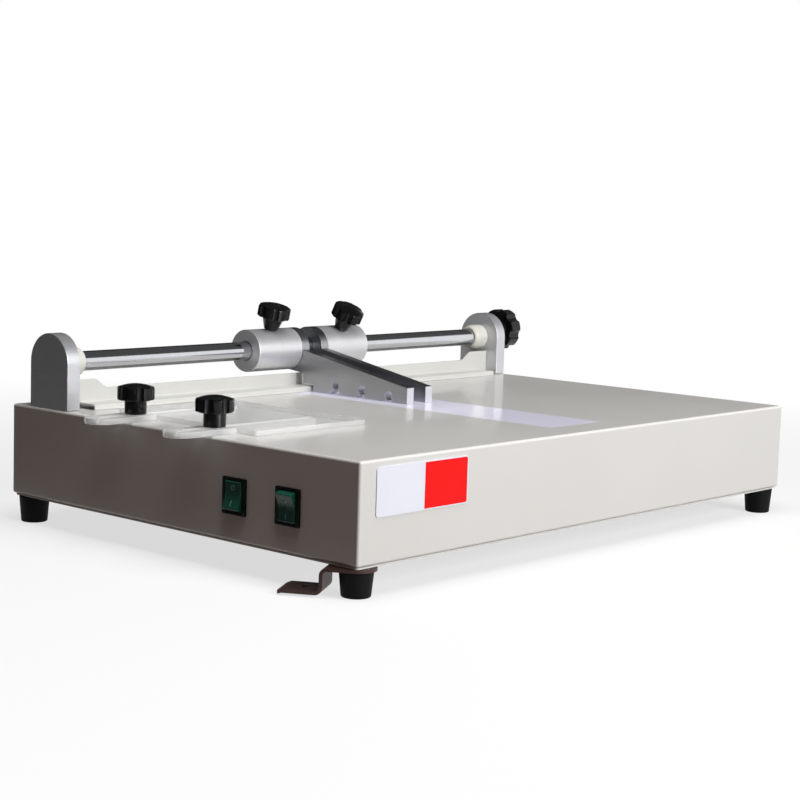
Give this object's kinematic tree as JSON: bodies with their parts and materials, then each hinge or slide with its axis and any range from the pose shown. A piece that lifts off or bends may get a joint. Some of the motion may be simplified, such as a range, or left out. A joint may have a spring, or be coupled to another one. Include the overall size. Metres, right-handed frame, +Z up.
{
  "type": "book casing machine",
  "caption": "Low sheet-metal table with lit window, rear shaft in end brackets, two sliding collars with wedge gauge plates, bent fence and slotted clear guide.",
  "frame": {"origin": "middle of the bounding box, on the surface that the feet stand on", "axes": "+X along the shaft towards its lock knob, +Y from the operator to the back, +Z up"},
  "size_m": [0.7246, 0.4592, 0.2071],
  "materials": {
    "cream_paint": "semi-gloss powder coat",
    "satin_aluminium": "satin",
    "plate_steel": "milled, dull",
    "chrome": "ground and polished",
    "zinc": "zinc plated",
    "black_plastic": "glossy",
    "black_rubber": "matt",
    "nylon": "satin",
    "clear_acrylic": "clear, polished",
    "opal_acrylic": "opal, slightly violet",
    "green_lens": "translucent green",
    "bronze_paint": "dark bronze paint",
    "white_label": "printed film, blank",
    "red_label": "printed film, blank",
    "green_board": "coated laminate"
  },
  "bodies": {
    "case": {"case_shell": "cream_paint", "bottom_plate": "cream_paint", "light_window": "opal_acrylic", "light_tray": "satin_aluminium", "lamp_board": "green_board", "power_supply": "satin_aluminium", "power_inlet": "black_plastic", "switch_housing_back": "black_plastic", "switch_housing_front": "black_plastic", "label_plain": "white_label", "label_red": "red_label", "foot_front_left": "black_rubber", "foot_screw_front_left": "zinc", "foot_front_right": "black_rubber", "foot_screw_front_right": "zinc", "foot_back_left": "black_rubber", "foot_screw_back_left": "zinc", "foot_back_right": "black_rubber", "foot_screw_back_right": "zinc", "hold_down_bracket": "bronze_paint", "end_bracket_left": "satin_aluminium", "bush_left": "nylon", "bracket_screw_left_1": "zinc", "bracket_screw_left_2": "zinc", "fence_screw_left": "zinc", "end_bracket_right": "satin_aluminium", "bush_right": "nylon", "bracket_screw_right_1": "zinc", "bracket_screw_right_2": "zinc", "fence_screw_right": "zinc", "fence": "cream_paint", "guide_stud_back": "zinc", "guide_stud_front": "zinc"},
    "shaft": {"shaft": "chrome"},
    "arm_left": {"collar_left": "satin_aluminium", "gauge_plate_left": "plate_steel", "eye_screw_left_1": "zinc", "eye_screw_left_2": "zinc"},
    "arm_right": {"collar_right": "satin_aluminium", "gauge_plate_right": "plate_steel", "eye_screw_right_1": "zinc", "eye_screw_right_2": "zinc"},
    "knob_left": {"collar_knob_left": "black_plastic", "collar_stud_left": "zinc"},
    "knob_right": {"collar_knob_right": "black_plastic", "collar_stud_right": "zinc"},
    "lock": {"lock_knob": "black_plastic", "lock_stud": "zinc"},
    "guide": {"guide_sheet": "clear_acrylic"},
    "guide_knob_back": {"guide_knob_back": "black_plastic"},
    "guide_knob_front": {"guide_knob_front": "black_plastic"},
    "rocker_back": {"rocker_back": "green_lens"},
    "rocker_front": {"rocker_front": "green_lens"}
  },
  "joints": [
    {"name": "arm_swing", "type": "hinge", "parent": "case", "child": "shaft", "pos_m": [-0.00025, 0.17483, 0.1561], "axis": [-1, 0, 0], "range_deg": [0, 95]},
    {"name": "arm_left_slide", "type": "slide", "parent": "shaft", "child": "arm_left", "axis": [1, 0, 0], "range_m": [-0.105, 0.008]},
    {"name": "arm_right_slide", "type": "slide", "parent": "shaft", "child": "arm_right", "axis": [1, 0, 0], "range_m": [-0.008, 0.165]},
    {"name": "knob_left_turn", "type": "hinge", "parent": "arm_left", "child": "knob_left", "pos_m": [-0.04155, 0.17483, 0.1561], "axis": [0, -0.225, 0.9744], "range_deg": [0, 360]},
    {"name": "knob_right_turn", "type": "hinge", "parent": "arm_right", "child": "knob_right", "pos_m": [0.05905, 0.17483, 0.1561], "axis": [0, -0.4695, 0.8829], "range_deg": [0, 360]},
    {"name": "lock_turn", "type": "hinge", "parent": "case", "child": "lock", "pos_m": [0.32275, 0.17483, 0.1636], "axis": [1, 0, 0], "range_deg": [0, 360]},
    {"name": "guide_slide", "type": "slide", "parent": "case", "child": "guide", "axis": [1, 0, 0], "range_m": [-0.11, 0.03]},
    {"name": "guide_knob_back_turn", "type": "hinge", "parent": "case", "child": "guide_knob_back", "pos_m": [-0.30825, 0.06708, 0.1187], "axis": [0, 0, 1], "range_deg": [0, 360]},
    {"name": "guide_knob_front_turn", "type": "hinge", "parent": "case", "child": "guide_knob_front", "pos_m": [-0.30825, -0.03842, 0.1187], "axis": [0, 0, 1], "range_deg": [0, 360]},
    {"name": "rocker_back_tilt", "type": "hinge", "parent": "case", "child": "rocker_back", "pos_m": [-0.32455, -0.08467, 0.0661], "axis": [0, 1, 0], "range_deg": [-18, 0]},
    {"name": "rocker_front_tilt", "type": "hinge", "parent": "case", "child": "rocker_front", "pos_m": [-0.32455, -0.14867, 0.0661], "axis": [0, 1, 0], "range_deg": [0, 18]}
  ]
}
